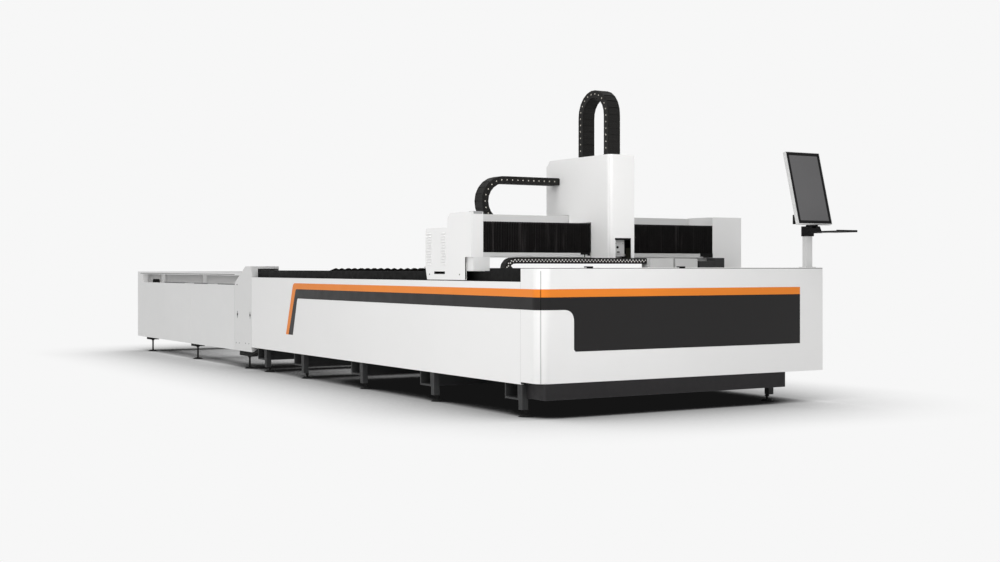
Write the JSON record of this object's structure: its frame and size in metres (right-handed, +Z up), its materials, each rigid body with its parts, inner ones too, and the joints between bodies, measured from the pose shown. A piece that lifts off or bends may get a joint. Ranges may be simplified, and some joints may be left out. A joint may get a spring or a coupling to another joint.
{
  "type": "sheet metal laser cutting machine",
  "caption": "Long sheet metal laser cutter: a closed bed with a moving gantry, cutting carriage, toothed pallets, a two-level exchange table and a screen on a post.",
  "frame": {"origin": "on the floor, in the middle of the machine's length and width, screen and tray included", "axes": "+X along the bed towards the operator's end, +Y across the bed towards the side with the screen post, +Z up"},
  "size_m": [8.74, 2.456, 2.185],
  "materials": {
    "white_panel": "satin powder coat",
    "grey_frame": "satin paint",
    "pale_frame": "satin paint",
    "dark_paint": "satin graphite paint",
    "orange_paint": "satin paint",
    "graphite_paint": "satin paint",
    "black_plastic": "moulded, dull",
    "bellows_cloth": "coated cloth, dull",
    "steel": "ground",
    "slat_steel": "dark rolled steel",
    "aluminium": "anodised",
    "copper_nozzle": "turned",
    "zinc": "zinc plated",
    "screen": "dark display"
  },
  "bodies": {
    "bed": {"bed_girders": "grey_frame", "bed_cross_beams": "grey_frame", "leg_channels": "grey_frame", "levelling_feet": "zinc", "end_sill": "dark_paint", "side_panel_left": "white_panel", "side_panel_right": "white_panel", "end_cover": "white_panel", "livery_orange": "orange_paint", "livery_dark": "graphite_paint", "rail_covers": "dark_paint", "x_guides": "steel", "pallet_rails": "pale_frame", "front_deck": "white_panel", "front_cable_chain": "black_plastic", "junction_boxes": "pale_frame", "scrap_trays": "pale_frame", "x_cable_chain": "black_plastic", "x_chain_trough": "zinc", "tower_frame": "grey_frame", "tower_hoods": "white_panel", "tower_locks": "black_plastic", "table_frame": "grey_frame", "table_panel_left": "white_panel", "table_panel_right": "white_panel", "table_end_panel": "white_panel", "exchange_feet": "zinc", "drive_motor": "dark_paint", "hmi_post": "pale_frame"},
    "gantry": {"gantry_beam": "pale_frame", "gantry_fascia": "white_panel", "gantry_saddles": "pale_frame", "gantry_cover_left": "white_panel", "gantry_cover_right": "white_panel", "x_motors": "dark_paint", "y_guides": "steel", "bellows_left": "bellows_cloth", "bellows_right": "bellows_cloth", "y_cable_chain": "black_plastic"},
    "x_pinion_left": {"x_pinion_left": "steel"},
    "x_pinion_right": {"x_pinion_right": "steel"},
    "carriage": {"carriage_plate": "aluminium", "carriage_cover": "white_panel", "carriage_motors": "dark_paint", "z_cable_chain": "black_plastic"},
    "y_pinion": {"y_pinion": "steel"},
    "head": {"z_slide": "aluminium", "laser_head": "aluminium", "nozzle": "copper_nozzle"},
    "pallet_a": {"pallet_a_frame": "grey_frame", "pallet_a_slats": "slat_steel", "pallet_a_wheels": "steel"},
    "pallet_b": {"pallet_b_frame": "grey_frame", "pallet_b_slats": "slat_steel", "pallet_b_wheels": "steel"},
    "drive_shaft": {"drive_shaft": "steel"},
    "hmi_arm": {"hmi_bracket": "black_plastic", "keyboard_tray": "dark_paint"},
    "monitor": {"monitor_case": "white_panel", "monitor_screen": "screen"}
  },
  "joints": [
    {"name": "gantry_slide", "type": "slide", "parent": "bed", "child": "gantry", "axis": [1, 0, 0], "range_m": [-3, 0], "deforming": ["x_cable_chain"]},
    {"name": "x_pinion_left_turn", "type": "hinge", "parent": "gantry", "child": "x_pinion_left", "pos_m": [2.795, -1.0225, 0.856], "axis": [0, 0, 1], "continuous": true},
    {"name": "x_pinion_right_turn", "type": "hinge", "parent": "gantry", "child": "x_pinion_right", "pos_m": [2.795, 0.7285, 0.856], "axis": [0, 0, 1], "continuous": true},
    {"name": "carriage_slide", "type": "slide", "parent": "gantry", "child": "carriage", "axis": [0, 1, 0], "range_m": [-0.74, 0.74], "deforming": ["bellows_left", "bellows_right", "y_cable_chain"]},
    {"name": "y_pinion_turn", "type": "hinge", "parent": "carriage", "child": "y_pinion", "pos_m": [3.207, -0.148, 1.1465], "axis": [1, 0, 0], "continuous": true},
    {"name": "head_slide", "type": "slide", "parent": "carriage", "child": "head", "axis": [0, 0, 1], "range_m": [-0.04, 0.08], "deforming": ["z_cable_chain"]},
    {"name": "pallet_a_slide", "type": "slide", "parent": "bed", "child": "pallet_a", "axis": [1, 0, 0], "range_m": [-4.46, 0]},
    {"name": "pallet_b_slide", "type": "slide", "parent": "bed", "child": "pallet_b", "axis": [1, 0, 0], "range_m": [0, 4.46]},
    {"name": "drive_shaft_turn", "type": "hinge", "parent": "bed", "child": "drive_shaft", "pos_m": [-4.15, -0.147, 0.47], "axis": [0, 1, 0], "continuous": true},
    {"name": "hmi_swivel", "type": "hinge", "parent": "bed", "child": "hmi_arm", "pos_m": [4.055, 1.061, 1.15], "axis": [0, 0, 1], "range_deg": [-45, 45]},
    {"name": "monitor_tilt", "type": "hinge", "parent": "hmi_arm", "child": "monitor", "pos_m": [4.09, 1.061, 1.232], "axis": [0, 1, 0], "range_deg": [-10, 10]}
  ],
  "couplings": [
    {"joint": "x_pinion_left_turn", "follows": "gantry_slide", "rad_per_m": -32.787},
    {"joint": "x_pinion_right_turn", "follows": "gantry_slide", "rad_per_m": 32.787},
    {"joint": "y_pinion_turn", "follows": "carriage_slide", "rad_per_m": -37.736},
    {"joint": "pallet_b_slide", "follows": "pallet_a_slide", "ratio": -1},
    {"joint": "drive_shaft_turn", "follows": "pallet_a_slide", "rad_per_m": 17.391}
  ]
}
